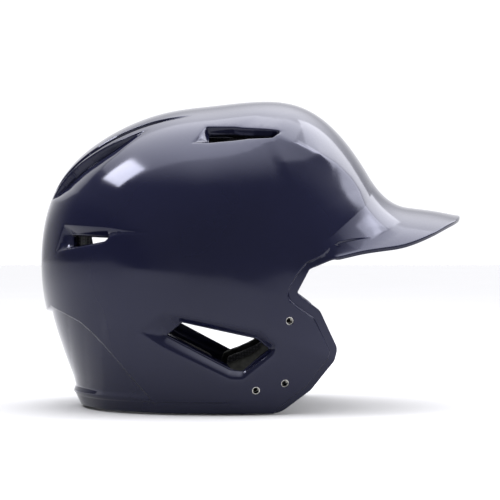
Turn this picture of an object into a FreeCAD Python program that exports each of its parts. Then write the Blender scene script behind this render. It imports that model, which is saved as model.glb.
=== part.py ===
"""Batting helmet with two ear flaps: an injection-moulded shell with a bill, threaded inserts for a
face guard, and an inner lining of impact foam and soft comfort pads.

Frame: +X towards the bill, +Y to the wearer's left, +Z up, in millimetres. The origin is on the plane
that the helmet stands on, midway along its length, in the plane of symmetry.

Every curved layer is one formula: the side profile in polar form about a centre inside the head
space, closed towards each side by a superellipse. A layer that lies `depth` inside the outer surface
has its profile radii and its half width smaller by that depth.
"""

import math
import os

import FreeCAD
import Part
import Sketcher
from FreeCAD import Vector

# ---------------------------------------------------------------- driving dimensions (sheet cells)
SIZES = {
    "centre_x": -25.0,
    "centre_z": 100.0,
    "half_width": 104.0,
    "side_exponent": 2.3,
    "shell_wall": 3.5,
    "glue_gap": 0.5,
    "impact_foam": 12.0,
    "dot_gap": 1.4,
    "dot_wall": 1.0,
    "dot_radius": 9.0,
    "comfort_foam": 6.0,
    "comfort_inset": 3.0,
    "nape_depth": 9.5,
    "nape_foam": 10.0,
    "bill_radius": 120.0,
    "bill_crown_z": 146.2,
    "bill_start_x": 38.0,
    "bill_slope": 0.125,
    "bill_reach": 115.0,
    "insert_bore": 1.7,
    "insert_lead": 2.1,
    "insert_barrel": 2.8,
    "insert_flange": 6.0,
    "insert_flange_back": 3.7,
    "insert_flange_front": 4.9,
    "insert_thread": 5.65,
    "insert_length": 9.0,
    "insert_hole": 2.95,
    "insert_recess": 0.3,
    "insert_pocket": 7.5,
    "insert_pocket_depth": 12.0,
    "cut_reach": 260.0,
}

# Radius of the outer side profile about the centre, every 15 degrees from straight ahead over the
# crown. The last eight close the loop below the rim, where there is no shell.
PROFILE_STEP = 15
PROFILE = (
    130, 125, 122.5, 123.5, 123, 114.5, 107.7, 107.8,
    110.5, 115, 119.7, 120.5, 120, 121, 125, 136,
    152, 168, 175, 172, 162, 150, 140, 134,
)  # fmt: skip

# Loft stations from one side to the other, as shares of a layer's half width.
STATIONS = (0.0, 0.3, 0.55, 0.75, 0.88, 0.955, 0.985, 0.997)

# ---------------------------------------------------------------- outlines, (x, z) seen from the side
FACE_OPENING = (
    (38.5, 94.5), (29.5, 79.0), (45.5, 67.5), (57.5, 41.5), (54.5, 34.0), (40.0, 16.0),
    (20.0, 0.0), (20.0, -20.0), (170.0, -20.0), (170.0, 94.5),
)  # fmt: skip
EAR_OPENING = ((-56, 51.5), (-45, 60.5), (5, 50), (14, 42.5), (-4.5, 28), (-12.5, 28.5))
TOP_VENT = ((-28, 179), (-28, 189), (4, 187.5), (19, 184.8), (14.5, 181), (-5, 180.5))
SIDE_VENT = ((-121, 109), (-121.5, 119), (-91, 118.5), (-96, 113), (-107, 111))
CROWN_VENTS = (
    ((-106, 155), (-123, 166), (-98, 187), (-85, 171)),
    ((-93, 170.5), (-108.5, 186.5), (-79, 201.5), (-68.5, 182)),
)
CROWN_VENT_REACH = ((47.0, 53.0), (39.0, 43.5))  # the span of |y| that each pair opens
EXHAUST_PORT = ((-140, 52), (-140, 64), (-118, 64), (-118, 52))
EXHAUST_REACH = (44.0, 53.0)

# The bill's edge seen from above, (x, y), from the right temple to the tip; the left side mirrors it.
BILL_EDGE = (
    (38, -96), (58, -91), (80, -86), (101, -78.5), (118, -68), (130, -55), (139, -37), (144, -18),
    (145, 0),
)  # fmt: skip

# Pads: how each one's outline is drawn (the plane and the side of it that it is cut from).
SIDE_PAD = (
    (-82, 80), (-86, 120), (-80, 150), (-58, 166), (20, 168), (46, 152), (57, 128), (38, 110),
    (22, 94), (14, 78), (-20, 74), (-60, 72),
)  # fmt: skip
JAW_PAD = (
    (-22, 7), (-22, 31), (-8, 36), (5, 42), (11, 54), (14, 66), (24, 70), (37, 62), (49, 42),
    (49, 36), (34, 17), (14, 5), (-10, 4),
)  # fmt: skip
EAR_PAD = ((-84, 8), (-86, 66), (-66, 66), (-63, 47), (-27, 29), (-26, 5))
CROWN_PAD = ((-66, -36), (-76, 0), (-66, 36), (18, 42), (30, 20), (30, -20), (18, -42))
FRONT_PAD = ((-52, 143), (-46, 186), (46, 186), (52, 143), (0, 149))
REAR_PAD = ((-34, 80), (-46, 100), (-30, 146), (30, 146), (46, 100), (34, 80))
NAPE_PAD = ((-50, 8), (-42, 66), (42, 66), (50, 8))

# Threaded inserts of the right side: name and (x, z) of each one's axis on the outer surface.
INSERTS = (("upper", 25.7, 61.5), ("front", 22.8, 20.5), ("rear", 3.9, 16.0))

# Hook-and-loop dots: (x, y, z) directions from the centre in which each dot lies.
DOTS = (
    (0.10, 0.12, 1.0), (0.10, -0.12, 1.0), (-0.42, 0.0, 1.0),
    (1.0, 0.28, 0.62), (1.0, -0.28, 0.62),
    (0.30, 1.0, 0.40), (-0.42, 1.0, 0.40), (0.30, -1.0, 0.40), (-0.42, -1.0, 0.40),
    (-1.0, 0.0, 0.25), (-1.0, 0.0, -0.08),
    (0.50, 1.0, -0.60), (0.50, -1.0, -0.60), (0.30, 1.0, -0.92), (0.30, -1.0, -0.92),
)  # fmt: skip

PLANES = {
    "XZ": FreeCAD.Rotation(Vector(1, 0, 0), 90),
    "XY": FreeCAD.Rotation(),
    "YZ": FreeCAD.Rotation(Vector(0, 1, 0), 90) * FreeCAD.Rotation(Vector(0, 0, 1), 90),
}

doc = FreeCAD.newDocument("batting_helmet")
sheet = doc.addObject("Spreadsheet::Sheet", "sheet")
kept = []


# ---------------------------------------------------------------- the sheet
def fill_sheet():
    """One row for each size, then one row for each profile radius, all with aliases."""
    rows = dict(SIZES)
    for number, radius in enumerate(PROFILE):
        rows[f"profile_at_{number * PROFILE_STEP}"] = radius
    for row, (alias, value) in enumerate(rows.items(), start=1):
        sheet.set(f"A{row}", alias)
        sheet.set(f"B{row}", str(value))
        sheet.setAlias(f"B{row}", alias)
    doc.recompute()


def size(alias):
    return float(sheet.get(alias))


# ---------------------------------------------------------------- the surface formula
def profile_radius():
    """A periodic cubic through the profile radii: angle in degrees to radius."""
    values = [size(f"profile_at_{i * PROFILE_STEP}") for i in range(len(PROFILE))]
    count = len(values)
    slopes = [0.0] * count
    for _ in range(60):  # relaxes the spline's tridiagonal system, which is diagonally dominant
        slopes = [
            (3 * (values[(i + 1) % count] - values[i - 1]) - slopes[i - 1] - slopes[(i + 1) % count]) / 4
            for i in range(count)
        ]

    def radius(degrees):
        place = (degrees / PROFILE_STEP) % count
        i = int(place)
        j = (i + 1) % count
        t = place - i
        return (
            values[i] * (1 + 2 * t) * (1 - t) ** 2
            + slopes[i] * t * (1 - t) ** 2
            + values[j] * t * t * (3 - 2 * t)
            + slopes[j] * t * t * (t - 1)
        )

    return radius


fill_sheet()
RADIUS = profile_radius()


def surface_y(x, z):
    """The half width of the outer surface at a point of the side view."""
    dx, dz = x - size("centre_x"), z - size("centre_z")
    power = size("side_exponent")
    share = (math.hypot(dx, dz) / RADIUS(math.degrees(math.atan2(dz, dx)))) ** power
    return size("half_width") * max(0.0, 1 - share) ** (1 / power)


def surface_normal(x, z, side):
    """The outward unit normal of the outer surface at (x, z); side is -1 right, +1 left."""
    step = 0.5
    slope_x = (surface_y(x + step, z) - surface_y(x - step, z)) / (2 * step)
    slope_z = (surface_y(x, z + step) - surface_y(x, z - step)) / (2 * step)
    normal = Vector(-slope_x, side, -slope_z)
    normal.normalize()
    return normal


def section_wire(depth, share):
    """The layer's closed outline in the plane y = share of its half width."""
    power = size("side_exponent")
    shrink = (1 - abs(share) ** power) ** (1 / power)
    y = share * (size("half_width") - depth)
    points = []
    for number in range(len(PROFILE) * 2):
        degrees = number * PROFILE_STEP / 2
        reach = (RADIUS(degrees) - depth) * shrink
        angle = math.radians(degrees)
        points.append(
            Vector(size("centre_x") + reach * math.cos(angle), y, size("centre_z") + reach * math.sin(angle))
        )
    curve = Part.BSplineCurve()
    curve.interpolate(Points=points, PeriodicFlag=True)
    return Part.Wire([curve.toShape()])


def layer_solid(name, depth):
    """A closed solid of everything inside the surface that lies depth under the outer one."""
    shares = [-s for s in reversed(STATIONS[1:])] + list(STATIONS)
    solid = Part.makeLoft([section_wire(depth, s) for s in shares], True)
    feature = doc.addObject("Part::Feature", name)
    feature.Shape = solid
    return feature


# ---------------------------------------------------------------- small builders
def rounded(points, corner):
    """Lines and tangent arcs round a closed polygon, each corner with that radius."""
    pts = [Vector(p[0], p[1], 0) for p in points]
    count = len(pts)
    ends = []
    for i in range(count):
        before, at, after = pts[i - 1], pts[i], pts[(i + 1) % count]
        back, ahead = before - at, after - at
        half = back.getAngle(ahead) / 2
        cut = min(corner / math.tan(half), 0.42 * back.Length, 0.42 * ahead.Length)
        back.normalize()
        ahead.normalize()
        middle = back + ahead
        middle.normalize()
        bulge = cut / math.cos(half) - cut * math.tan(half)
        ends.append((at + back * cut, at + middle * bulge, at + ahead * cut))
    pieces = []
    for i in range(count):
        start, middle, end = ends[i]
        pieces.append(Part.Arc(start, middle, end))
        pieces.append(Part.LineSegment(end, ends[(i + 1) % count][0]))
    return pieces


def outline_sketch(name, plane, points, corner):
    """A sketch of a closed outline in one of the three planes through the origin."""
    sketch = doc.addObject("Sketcher::SketchObject", name)
    sketch.Placement = FreeCAD.Placement(Vector(), PLANES[plane])
    sketch.addGeometry(rounded(points, corner) if corner else polygon(points), False)
    return sketch


def polygon(points):
    pts = [Vector(p[0], p[1], 0) for p in points]
    return [Part.LineSegment(pts[i - 1], pts[i]) for i in range(len(pts))]


def prism(name, plane, points, corner=0.0, span=None):
    """An outline extruded square to its plane: both ways by cut_reach, or over a span (from, to)."""
    sketch = outline_sketch(name + "_outline", plane, points, corner)
    solid = doc.addObject("Part::Extrusion", name)
    solid.Base = sketch
    solid.DirMode = "Custom"
    solid.Dir = {"XZ": Vector(0, 1, 0), "XY": Vector(0, 0, 1), "YZ": Vector(1, 0, 0)}[plane]
    solid.Solid = True
    if span is None:
        solid.Symmetric = True
        solid.setExpression("LengthFwd", "sheet.cut_reach")
    else:
        solid.LengthFwd = span[1]
        solid.LengthRev = -span[0]
    return solid


def cut(name, base, tool):
    result = doc.addObject("Part::Cut", name)
    result.Base, result.Tool = base, tool
    return result


def common(name, base, tool):
    result = doc.addObject("Part::Common", name)
    result.Base, result.Tool = base, tool
    return result


def fuse(name, shapes):
    result = doc.addObject("Part::MultiFuse", name)
    result.Shapes = shapes
    return result


def keep(feature, node):
    """Marks a finished piece: its Label is the name of its file."""
    feature.Label = node
    kept.append(feature)
    return feature


def cylinder_at(name, point, direction, radius_alias, low, high):
    """A cylinder about a line, from low to high along its direction."""
    feature = doc.addObject("Part::Cylinder", name)
    feature.setExpression("Radius", f"sheet.{radius_alias}")
    feature.Height = high - low
    feature.Placement = FreeCAD.Placement(point + direction * low, FreeCAD.Rotation(Vector(0, 0, 1), direction))
    return feature


# ---------------------------------------------------------------- the shell
def bill_arch(name, radius, wall, start_x, thick):
    """An arch across the bill, extruded forward and down along its slope.

    With thick True it is the bill's own wall; otherwise it is the open space beneath that wall.
    """
    centre_z = size("bill_crown_z") - radius
    inner = radius - wall
    spread = 100.0
    outer_z = centre_z + math.sqrt(radius**2 - spread**2)
    inner_z = centre_z + math.sqrt(inner**2 - spread**2)
    top = Part.Arc(Vector(start_x, -spread, outer_z), Vector(start_x, 0, centre_z + radius),
                   Vector(start_x, spread, outer_z)).toShape()  # fmt: skip
    under = Part.Arc(Vector(start_x, -spread, inner_z), Vector(start_x, 0, centre_z + inner),
                     Vector(start_x, spread, inner_z)).toShape()  # fmt: skip
    if thick:
        corners = [Vector(start_x, spread, outer_z), Vector(start_x, spread, inner_z)]
        sides = [Part.makeLine(*corners)]
        corners = [Vector(start_x, -spread, inner_z), Vector(start_x, -spread, outer_z)]
        sides.append(Part.makeLine(*corners))
        edges = [top, *sides, under]
    else:
        floor_z = 80.0
        corners = [Vector(start_x, spread, inner_z), Vector(start_x, spread, floor_z),
                   Vector(start_x, -spread, floor_z), Vector(start_x, -spread, inner_z)]  # fmt: skip
        edges = [under] + [Part.makeLine(corners[i], corners[i + 1]) for i in range(3)]
    face = Part.Face(Part.Wire(Part.__sortEdges__(edges)))
    reach = size("bill_reach")
    feature = doc.addObject("Part::Feature", name)
    feature.Shape = face.extrude(Vector(reach, 0, -reach * size("bill_slope")))
    return feature


def bill_plan():
    """The bill's plan outline as an upright solid."""
    points = [Vector(x, y, 0) for x, y in BILL_EDGE]
    points += [Vector(x, -y, 0) for x, y in reversed(BILL_EDGE[:-1])]
    curve = Part.BSplineCurve()
    curve.interpolate(points)
    back = Part.makeLine(points[-1], points[0])
    face = Part.Face(Part.Wire([curve.toShape(), back]))
    feature = doc.addObject("Part::Feature", "bill_plan")
    feature.Shape = face.extrude(Vector(0, 0, size("cut_reach")))
    return feature


def both_sides(name, outline, reach, corner):
    """The same opening cut from the right and from the left, over a span of |y|."""
    low, high = reach
    right = prism(name + "_right", "XZ", outline, corner, (-high, -low))
    left = prism(name + "_left", "XZ", outline, corner, (low, high))
    return [right, left]


def insert_places():
    """Each insert's name, its point on the outer surface and the outward normal there."""
    for side, word in ((-1, "right"), (1, "left")):
        for name, x, z in INSERTS:
            point = Vector(x, side * surface_y(x, z), z)
            yield f"{word}_{name}", point, surface_normal(x, z, side)


def make_shell(outer, inner):
    wall = size("shell_wall")
    start = size("bill_start_x")
    hollow = cut("hollow_dome", outer, inner)
    arch = bill_arch("bill_sheet", size("bill_radius"), wall, start, True)
    bill = common("bill_outline", arch, bill_plan())
    bill_clear = cut("bill_clear_of_head", bill, inner)
    openings = [
        prism("below_rim", "XZ", ((-200, -130), (-200, 0), (200, 0), (200, -130))),
        prism("face_opening", "XZ", FACE_OPENING, 5.0),
        bill_arch("below_bill", size("bill_radius"), wall, start, False),
    ]
    dome = cut("dome", hollow, fuse("dome_openings", openings))
    body = fuse("dome_and_bill", [dome, bill_clear])
    holes = [
        prism("ear_opening", "XZ", EAR_OPENING, 2.5),
        prism("top_vent", "XZ", TOP_VENT, 1.5),
        prism("side_vent", "XZ", SIDE_VENT, 1.5),
    ]
    for number, (outline, reach) in enumerate(zip(CROWN_VENTS, CROWN_VENT_REACH)):
        holes += both_sides(f"crown_vent_{number}", outline, reach, 1.0)
    holes += both_sides("exhaust_port", EXHAUST_PORT, EXHAUST_REACH, 1.0)
    for name, point, normal in insert_places():
        holes.append(cylinder_at(f"insert_hole_{name}", point, normal, "insert_hole", -10.0, 5.0))
    return keep(cut("shell_body", body, fuse("shell_holes", holes)), "shell")


# ---------------------------------------------------------------- threaded inserts
def make_insert(name, point, normal):
    """A flanged barrel pushed through the wall from inside, threaded behind the wall and plain in
    front of it. The axis is the body's Z, and its foot is the inner end."""
    body = doc.addObject("PartDesign::Body", f"insert_{name}")
    sketch = body.newObject("Sketcher::SketchObject", f"insert_section_{name}")
    plane = next(o for o in body.Origin.OriginFeatures if o.Role == "XZ_Plane")
    sketch.AttachmentSupport = [(plane, "")]
    sketch.MapMode = "FlatFace"
    corners = (
        ("insert_bore", None), ("insert_barrel", None), ("insert_barrel", "insert_flange_back"),
        ("insert_flange", "insert_flange_back"), ("insert_flange", "insert_flange_front"),
        ("insert_barrel", "insert_flange_front"), ("insert_barrel", "insert_length"),
        ("insert_lead", "insert_length"), ("insert_lead", "insert_thread"), ("insert_bore", "insert_thread"),
    )  # fmt: skip
    points = [Vector(size(a), size(b) if b else 0.0, 0) for a, b in corners]
    count = len(points)
    for i in range(count):
        sketch.addGeometry(Part.LineSegment(points[i], points[(i + 1) % count]), False)
    for i in range(count):
        sketch.addConstraint(Sketcher.Constraint("Coincident", i, 2, (i + 1) % count, 1))
    for i, (across, up) in enumerate(corners):
        number = sketch.addConstraint(Sketcher.Constraint("DistanceX", -1, 1, i, 1, points[i].x))
        sketch.setExpression(f"Constraints[{number}]", f"sheet.{across}")
        if up is None:
            sketch.addConstraint(Sketcher.Constraint("PointOnObject", i, 1, -1))
        else:
            number = sketch.addConstraint(Sketcher.Constraint("DistanceY", -1, 1, i, 1, points[i].y))
            sketch.setExpression(f"Constraints[{number}]", f"sheet.{up}")
    turn = body.newObject("PartDesign::Revolution", f"insert_turned_{name}")
    turn.Profile = sketch
    turn.ReferenceAxis = (sketch, ["V_Axis"])
    turn.Angle = 360.0
    body.Tip = turn
    foot = point - normal * (size("insert_length") + size("insert_recess"))
    body.Placement = FreeCAD.Placement(foot, FreeCAD.Rotation(Vector(0, 0, 1), normal))
    return keep(body, f"threaded_insert_{name}")


# ---------------------------------------------------------------- pads
def inset(points, distance):
    """The outline moved inward all round by a distance."""
    wire = Part.makePolygon([Vector(p[0], p[1], 0) for p in (*points, points[0])])
    smaller = wire.makeOffset2D(-distance, 2, False, False)
    return [(v.Point.x, v.Point.y) for v in smaller.OrderedVertexes]


def pad(node, layer, plane, outline, span, pockets=()):
    """The part of a foam layer that lies behind an outline."""
    tool = prism(node + "_cutter", plane, outline, 6.0, span)
    block = common(node + "_block", layer, tool)
    if pockets:
        block = cut(node + "_pocketed", block, fuse(node + "_pockets", list(pockets)))
    return keep(block, node)


def insert_pockets(side, tag):
    """Room in the foam for the flanges of one side's inserts."""
    tools = []
    for name, point, normal in insert_places():
        if name.startswith(side):
            deep = -size("insert_pocket_depth")
            tools.append(cylinder_at(f"pocket_{tag}_{name}", point, normal, "insert_pocket", deep, 4.0))
    return tools


def make_dots(layer):
    """Curved hook-and-loop dots between the impact foam and the comfort pads."""
    centre = Vector(size("centre_x"), 0, size("centre_z"))
    tools = []
    for number, direction in enumerate(DOTS):
        line = Vector(*direction)
        line.normalize()
        tools.append(cylinder_at(f"dot_{number}", centre, line, "dot_radius", 40.0, 160.0))
    return keep(common("dots", layer, fuse("dot_tools", tools)), "hook_and_loop_dots")


def make_pads(layers):
    impact, comfort, nape, dots = layers
    far = (25.0, 140.0)
    sides = (("right", (-far[1], -far[0])), ("left", far))
    above, ahead, behind = (120.0, 240.0), (30.0, 150.0), (-200.0, -60.0)
    inset_by = size("comfort_inset")
    pad("crown_impact_pad", impact, "XY", CROWN_PAD, above)
    pad("front_impact_pad", impact, "YZ", FRONT_PAD, ahead)
    pad("rear_impact_pad", impact, "YZ", REAR_PAD, behind)
    pad("nape_pad", nape, "YZ", NAPE_PAD, behind)
    pad("crown_comfort_pad", comfort, "XY", inset(CROWN_PAD, inset_by), above)
    pad("front_comfort_pad", comfort, "YZ", inset(FRONT_PAD, inset_by), ahead)
    pad("rear_comfort_pad", comfort, "YZ", inset(REAR_PAD, inset_by), behind)
    for word, span in sides:
        pad(f"{word}_side_impact_pad", impact, "XZ", SIDE_PAD, span)
        pad(f"{word}_ear_pad", impact, "XZ", EAR_PAD, span)
        pad(f"{word}_jaw_impact_pad", impact, "XZ", JAW_PAD, span, insert_pockets(word, "impact"))
        pad(f"{word}_side_comfort_pad", comfort, "XZ", inset(SIDE_PAD, inset_by), span)
        pad(f"{word}_jaw_comfort_pad", comfort, "XZ", inset(JAW_PAD, inset_by), span)
    make_dots(dots)


def layer_between(name, low, high):
    """The space between two depths as one hollow solid."""
    return cut(name, layer_solid(name + "_outer", low), layer_solid(name + "_inner", high))


# ---------------------------------------------------------------- build, check and write
def write_parts():
    doc.recompute()
    bad = [o.Name for o in doc.Objects if "Invalid" in o.State or "Error" in o.State]
    if bad:
        raise RuntimeError(f"objects failed to compute: {bad}")
    os.makedirs("parts", exist_ok=True)
    for feature in kept:
        shape = feature.Shape
        if shape.isNull() or not shape.isValid() or not shape.Solids:
            raise RuntimeError(f"{feature.Label} is not a valid solid")
        shape.exportStep(f"parts/{feature.Label}.step")
        print(f"{feature.Label}: {len(shape.Solids)} solid(s), {shape.Volume / 1000:.1f} cm3")


def main():
    wall = size("shell_wall")
    foam = wall + size("glue_gap")
    impact_end = foam + size("impact_foam")
    comfort_start = impact_end + size("dot_gap")
    dot_start = impact_end + (size("dot_gap") - size("dot_wall")) / 2
    make_shell(layer_solid("outer_surface", 0.0), layer_solid("inner_surface", wall))
    for name, point, normal in insert_places():
        make_insert(name, point, normal)
    make_pads((
        layer_between("impact_layer", foam, impact_end),
        layer_between("comfort_layer", comfort_start, comfort_start + size("comfort_foam")),
        layer_between("nape_layer", size("nape_depth"), size("nape_depth") + size("nape_foam")),
        layer_between("dot_layer", dot_start, dot_start + size("dot_wall")),
    ))  # fmt: skip
    write_parts()


main()
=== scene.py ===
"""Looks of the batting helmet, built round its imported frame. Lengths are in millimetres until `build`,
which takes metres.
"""

import math

import bpy
import numpy as np
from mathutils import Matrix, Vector
from mathutils.geometry import delaunay_2d_cdt
from mathutils.kdtree import KDTree


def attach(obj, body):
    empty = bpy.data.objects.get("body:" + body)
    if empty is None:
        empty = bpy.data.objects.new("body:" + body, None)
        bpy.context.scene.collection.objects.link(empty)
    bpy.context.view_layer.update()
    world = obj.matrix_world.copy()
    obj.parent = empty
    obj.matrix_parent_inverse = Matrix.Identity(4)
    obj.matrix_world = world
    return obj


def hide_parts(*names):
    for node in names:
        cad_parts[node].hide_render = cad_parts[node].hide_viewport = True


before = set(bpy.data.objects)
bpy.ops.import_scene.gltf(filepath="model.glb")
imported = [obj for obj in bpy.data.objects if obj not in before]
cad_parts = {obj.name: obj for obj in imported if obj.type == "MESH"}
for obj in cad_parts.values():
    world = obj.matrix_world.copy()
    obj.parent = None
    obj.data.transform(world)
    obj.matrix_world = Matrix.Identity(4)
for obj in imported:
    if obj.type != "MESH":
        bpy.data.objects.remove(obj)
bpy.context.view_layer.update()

# ---------------------------------------------------------------- camera
CAMERA_DISTANCE = 1.3
CAMERA_HEIGHT = 0.1075
VIEW_WIDTH = 0.35  # what the picture spans at the plane of symmetry
SENSOR_WIDTH = 36.0
camera_data = bpy.data.cameras.new("camera")
camera = bpy.data.objects.new("camera", camera_data)
bpy.context.scene.collection.objects.link(camera)
camera_data.sensor_width = SENSOR_WIDTH
camera_data.lens = SENSOR_WIDTH * CAMERA_DISTANCE / VIEW_WIDTH
camera_data.clip_end = 20.0
camera.location = (0.0, -CAMERA_DISTANCE, CAMERA_HEIGHT)
camera.rotation_euler = (math.radians(90), 0, 0)
bpy.context.scene.camera = camera

# ---------------------------------------------------------------- the dome's formula, as in the CAD
CX, CZ = -25.0, 100.0  # the dome's centre in the side view
WIDE = 104.0  # half the dome's width
POWER = 2.3  # the exponent of its rounded cross-section
PROFILE = np.array(  # radius of the side view every 15 degrees
    [130, 125, 122.5, 123.5, 123, 114.5, 107.7, 107.8, 110.5, 115, 119.7, 120.5,
     120, 121, 125, 136, 152, 168, 175, 172, 162, 150, 140, 134], float)
SLOPES = np.zeros(24)  # of the closed spline through them
for _ in range(60):
    SLOPES = (3 * (np.roll(PROFILE, -1) - np.roll(PROFILE, 1)) - np.roll(SLOPES, 1)
              - np.roll(SLOPES, -1)) / 4
SPAN = 175.0  # the flat map's radius: its centre is the side of the helmet, its rim the mid-plane
WALL = 3.5
BILL_R = 120.0  # the bill's arch, seen from the front
BILL_FALL = 0.125  # its slope forwards


def rho(angle):
    """The profile's radius."""
    place = (np.degrees(angle) / 15) % 24
    i = place.astype(int) % 24
    t = place - np.floor(place)
    j = (i + 1) % 24
    return (PROFILE[i] * (1 + 2 * t) * (1 - t) ** 2 + SLOPES[i] * t * (1 - t) ** 2
            + PROFILE[j] * t * t * (3 - 2 * t) + SLOPES[j] * t * t * (t - 1))


def base(q, depth=0.0):
    """Flat map to the right half of the surface lying depth inside the outer one."""
    phi = np.hypot(q[:, 0], q[:, 1]) * (math.pi / 2 / SPAN)
    angle = np.arctan2(q[:, 1], q[:, 0])
    c = np.cos(phi)
    c = np.sign(c) * np.abs(c) ** (2 / POWER)
    r = (rho(angle) - depth) * np.abs(np.sin(phi)) ** (2 / POWER)
    return np.stack([CX + r * np.cos(angle), -(WIDE - depth) * c, CZ + r * np.sin(angle)], 1)


def side(points):
    """Points (x, z) of the side view to the flat map."""
    p = np.asarray(points, float)
    dx, dz = p[:, 0] - CX, p[:, 1] - CZ
    angle = np.arctan2(dz, dx)
    share = np.minimum(1.0, np.hypot(dx, dz) / rho(angle))
    return polar(angle, np.arcsin(share ** (POWER / 2)))


def polar(angle, phi):
    """Flat map points by angle round the profile and angle away from the side's centre."""
    r = SPAN * phi / (math.pi / 2)
    return np.stack([r * np.cos(angle), r * np.sin(angle)], -1)


def ring(degrees, half):
    """Points given by the angle round the profile and the distance from the mid-plane."""
    share = np.asarray(half, float) / WIDE
    return polar(np.radians(np.asarray(degrees, float)), np.arccos(share ** (POWER / 2)))


# ---------------------------------------------------------------- flat outlines
def rounded(points, radius, closed=False, step=1.0):
    """A polyline with its corners rounded, resampled at about that step."""
    p = [np.array(a, float) for a in points]
    n = len(p)
    out = []
    for i in range(n):
        if not closed and i in (0, n - 1):
            out.append(p[i])
            continue
        a, b, c = p[i - 1], p[i], p[(i + 1) % n]
        r = radius[i] if isinstance(radius, (list, tuple)) else radius
        u, v = a - b, c - b
        lu, lv = np.linalg.norm(u), np.linalg.norm(v)
        u, v = u / lu, v / lv
        half = math.acos(max(-1, min(1, float(u @ v)))) / 2
        cut = min(r / max(math.tan(half), 1e-6), 0.45 * lu, 0.45 * lv)
        for t in np.linspace(0, 1, 7):
            out.append((1 - t) ** 2 * (b + u * cut) + 2 * t * (1 - t) * b + t * t * (b + v * cut))
    if closed:
        out.append(out[0])
    return resample(np.array(out), step)[: -1 if closed else None]


def places_along(line):
    """Each point's distance along a line."""
    return np.concatenate([[0], np.cumsum(np.linalg.norm(np.diff(line, axis=0), axis=1))])


def resample(p, step):
    """The same polyline with points at about that step."""
    d = places_along(p)
    n = max(2, int(round(d[-1] / step)) + 1)
    s = np.linspace(0, d[-1], n)
    return np.stack([np.interp(s, d, p[:, k]) for k in range(p.shape[1])], 1)


def drawn(points, radius, closed=False, step=1.0):
    """A line that is straight between its corners in the side view, on the flat map."""
    line = side(rounded(points, radius, closed, 0.7))
    if not closed:
        return resample(line, step)
    return resample(np.vstack([line, line[:1]]), step)[:-1]


def nearest(q, line, closed=False):
    """Distance from a polyline, side of it and place along it: the side is 1 on its left, -1 on its right."""
    a = line if closed else line[:-1]
    b = np.roll(line, -1, 0) if closed else line[1:]
    ab = b - a
    length = np.linalg.norm(ab, axis=1)
    start = np.concatenate([[0], np.cumsum(length)])[:-1]
    best = np.full(len(q), 1e9)
    sign = np.ones(len(q))
    place = np.zeros(len(q))
    for lo in range(0, len(q), 8000):
        part = q[lo:lo + 8000]
        rel = part[:, None, :] - a[None]
        t = np.clip((rel * ab[None]).sum(2) / np.maximum(length**2, 1e-12), 0, 1)
        off = rel - t[..., None] * ab[None]
        d2 = (off**2).sum(2)
        k = d2.argmin(1)
        row = np.arange(len(part))
        best[lo:lo + 8000] = np.sqrt(d2[row, k])
        place[lo:lo + 8000] = start[k] + t[row, k] * length[k]
        if line.shape[1] == 2:
            cross = ab[k, 0] * rel[row, k, 1] - ab[k, 1] * rel[row, k, 0]
            away = np.maximum(length[k] * np.sqrt(d2[row, k]), 1e-9)
            sign[lo:lo + 8000] = np.clip(cross / away, -1, 1)
    return best, sign, place


def inside(q, poly):
    """Which flat points lie inside a polygon."""
    x, y = q[:, 0], q[:, 1]
    hit = np.zeros(len(q), bool)
    x1, y1 = poly[:, 0], poly[:, 1]
    x2, y2 = np.roll(x1, -1), np.roll(y1, -1)
    for i in range(len(poly)):
        if y1[i] == y2[i]:
            continue
        cross = (y1[i] > y) != (y2[i] > y)
        hit ^= cross & (x < (x2[i] - x1[i]) * (y - y1[i]) / (y2[i] - y1[i]) + x1[i])
    return hit


def ease(t):
    """A smooth step from 0 to 1."""
    t = np.clip(t, 0, 1)
    return t * t * (3 - 2 * t)


def soft(t, r):
    """The positive part of t, with its corner rounded."""
    return 0.5 * (t + np.sqrt(t * t + r * r))


# ---------------------------------------------------------------- the shell's lines (x, z), right side
# the face opening's edge, from the jaw to the temple
EDGE = drawn([(19.6, 0.6), (40, 15.7), (55, 35), (57.1, 42.5), (45.6, 67.1), (29.8, 79.0), (38.6, 95.2)],
             [0, 12, 5, 6, 6, 3, 0])
EAR_OUT = drawn([(-73.8, 53.9), (-56.9, 66.5), (7.1, 54.9), (17.9, 44.1), (-4.5, 24.3), (-12.2, 24.3)],
                [1, 4, 4, 3, 4, 4], True)
EAR_HOLE = drawn([(-56, 51.6), (-44.8, 60.6), (5.2, 49.8), (13.9, 42.7), (-4.5, 28.2), (-12.3, 29)],
                 [1, 2, 3, 1.5, 3, 3], True, 0.9)
TOP_OUT = drawn([(-39, 177.8), (-28.8, 189.6), (-10.9, 189.2), (4.3, 187.2), (20.5, 184.8), (14.6, 180.4),
                 (-0.7, 180.6), (-28.7, 178.2)], [0.5, 0.8, 9, 9, 0.8, 1.2, 9, 9], True, 0.8)
TOP_HOLE = drawn([(-28.0, 179.5), (-27.9, 188.5), (-10.9, 188.4), (4.3, 186.5), (18.6, 184.4),
                  (14.2, 181.4), (-0.7, 181.6)], [0.5, 0.5, 9, 9, 0.8, 0.8, 9], True, 0.8)
SIDE_OUT = drawn([(-124.1, 124.1), (-95.2, 121.7), (-63, 118.7), (-87.5, 117.4), (-91, 116.6),
                  (-95.6, 112.6), (-106, 110.9), (-121.1, 108.2), (-130.2, 105.2)],
                 [0.6, 9, 0.3, 3, 2, 2, 9, 9, 0.4], True, 0.8)
SIDE_HOLE = drawn([(-121.9, 118.4), (-93.4, 117.1), (-96.9, 113.6), (-106, 112.0), (-120.7, 109.6)],
                  [0.5, 1, 1, 9, 0.5], True, 0.8)
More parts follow.
